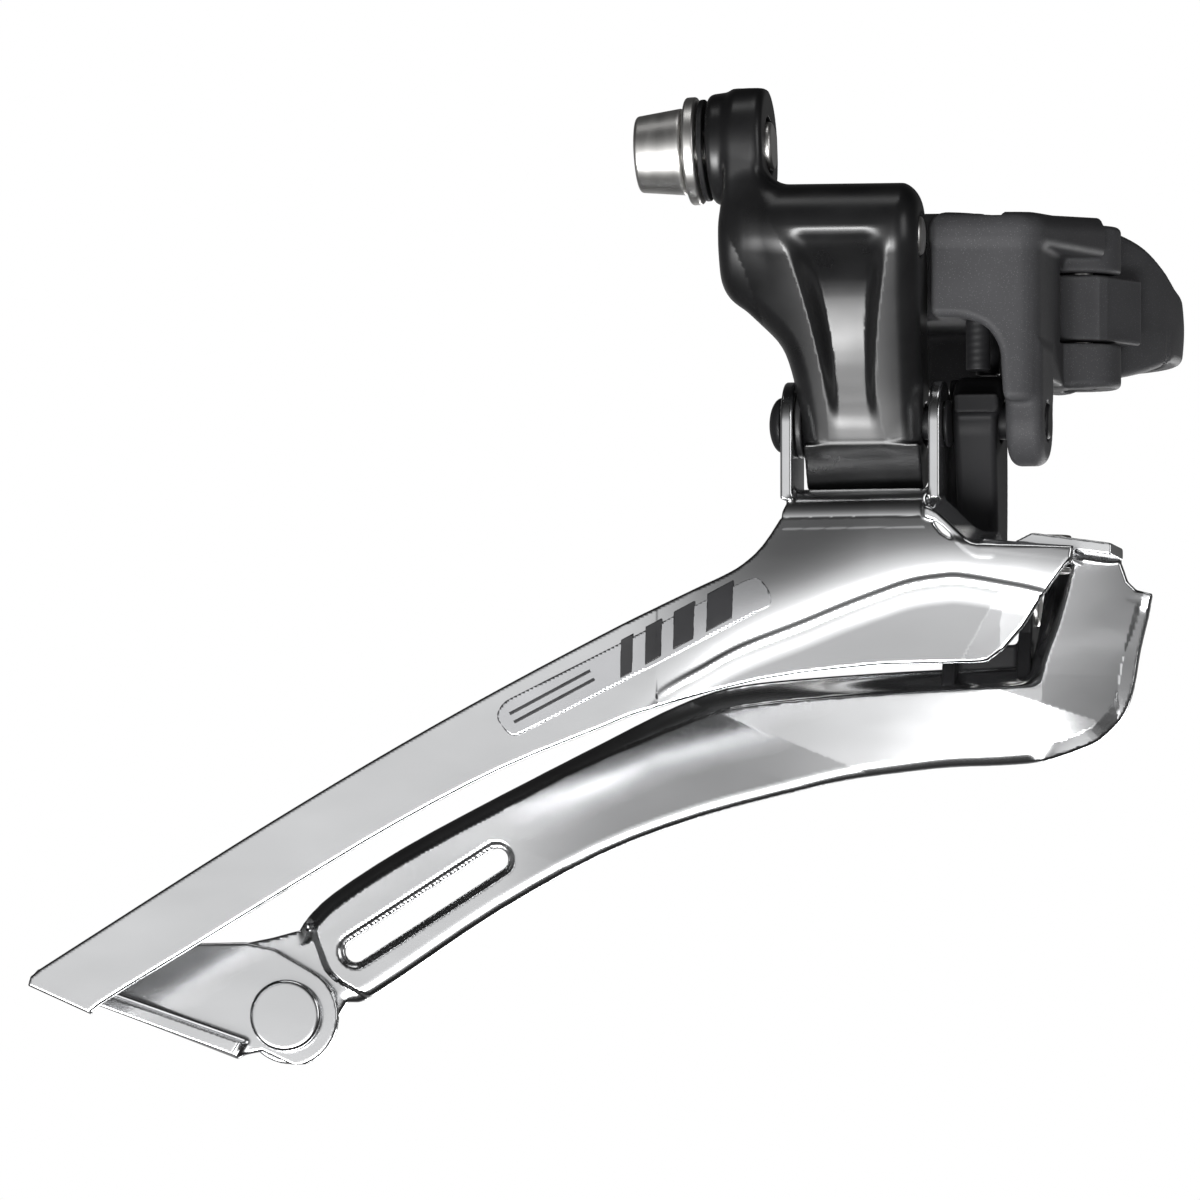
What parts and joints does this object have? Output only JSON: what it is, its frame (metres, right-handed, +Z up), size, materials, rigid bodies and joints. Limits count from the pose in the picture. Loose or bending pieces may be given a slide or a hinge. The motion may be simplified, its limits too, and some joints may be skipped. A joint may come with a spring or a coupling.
{
  "type": "bicycle front derailleur",
  "caption": "Road front derailleur with a hinged band clamp, four-bar linkage, pressed steel chain cage and cable anchor.",
  "frame": {"origin": "on the seat tube's axis, 2 mm above the middle of the clamp band", "axes": "+Z up the seat tube, +X towards the front wheel, +Y inboard, away from the chainrings' outer side"},
  "size_m": [0.112, 0.0797, 0.0965],
  "materials": {
    "casting": "fine satin charcoal paint on cast aluminium",
    "gloss_link": "gloss black paint on forged aluminium",
    "dark_link": "satin black coating",
    "cage_steel": "polished plated steel sheet",
    "steel": "satin zinc-plated steel",
    "black_steel": "black oxide steel",
    "nylon": "black nylon",
    "decal": "clear-coated silver label"
  },
  "bodies": {
    "bracket": {"base_bracket": "casting", "clamp_hinge_pin": "steel", "screw_lock_plate": "nylon", "inner_link_upper_pin": "black_steel", "return_spring": "steel"},
    "band": {"clamp_band": "casting", "clamp_nut": "steel"},
    "clamp_bolt": {"clamp_bolt": "steel", "clamp_bolt_washer": "steel"},
    "outer_link": {"outer_link": "gloss_link", "upper_link_pin": "steel", "lower_washer_rear": "nylon", "cable_anchor_plate": "dark_link", "cable_anchor_washer": "steel"},
    "anchor_bolt": {"cable_anchor_bolt": "steel"},
    "inner_link": {"inner_link": "dark_link"},
    "cage": {"cage_outer_plate": "cage_steel", "cage_inner_plate": "cage_steel", "link_bracket": "black_steel", "bridge_rivet_1": "steel", "bridge_rivet_2": "steel", "tail_rivet": "steel", "decal_plate": "decal", "lower_link_pin": "black_steel", "inner_link_lower_pin": "steel"},
    "low_limit_screw": {"low_limit_screw": "black_steel"},
    "high_limit_screw": {"high_limit_screw": "black_steel"}
  },
  "joints": [
    {"name": "clamp_band_hinge", "type": "hinge", "parent": "bracket", "child": "band", "pos_m": [0.0109, -0.0175, 0], "axis": [0, 0, -1], "range_deg": [0, 3]},
    {"name": "clamp_bolt_turn", "type": "hinge", "parent": "bracket", "child": "clamp_bolt", "pos_m": [-0.00997, 0.02139, -0.002], "axis": [-0.9063, -0.4226, 0], "continuous": true},
    {"name": "link_swing", "type": "hinge", "parent": "bracket", "child": "outer_link", "pos_m": [0, -0.0458, 0.0037], "axis": [-1, 0, 0], "range_deg": [0, 30], "stiffness_Nm_per_rad": 0.6, "springref_deg": -20.05, "deforming": ["return_spring"]},
    {"name": "inner_link_swing", "type": "hinge", "parent": "bracket", "child": "inner_link", "pos_m": [0, -0.034, -0.0141], "axis": [-1, 0, 0], "range_deg": [0, 30]},
    {"name": "cage_pivot", "type": "hinge", "parent": "outer_link", "child": "cage", "pos_m": [0, -0.039, -0.0146], "axis": [-1, 0, 0], "range_deg": [-30, 0]},
    {"name": "cable_anchor_turn", "type": "hinge", "parent": "outer_link", "child": "anchor_bolt", "pos_m": [-0.02499, -0.043, 0.01264], "axis": [0.9986, 0, 0.0523], "continuous": true},
    {"name": "low_limit_turn", "type": "hinge", "parent": "bracket", "child": "low_limit_screw", "pos_m": [0.00355, -0.0306, 0], "axis": [0, 0, 1], "continuous": true},
    {"name": "high_limit_turn", "type": "hinge", "parent": "bracket", "child": "high_limit_screw", "pos_m": [0.00355, -0.0374, 0], "axis": [0, 0, 1], "continuous": true}
  ],
  "couplings": [
    {"joint": "inner_link_swing", "follows": "link_swing", "ratio": 1},
    {"joint": "cage_pivot", "follows": "link_swing", "ratio": -1}
  ]
}
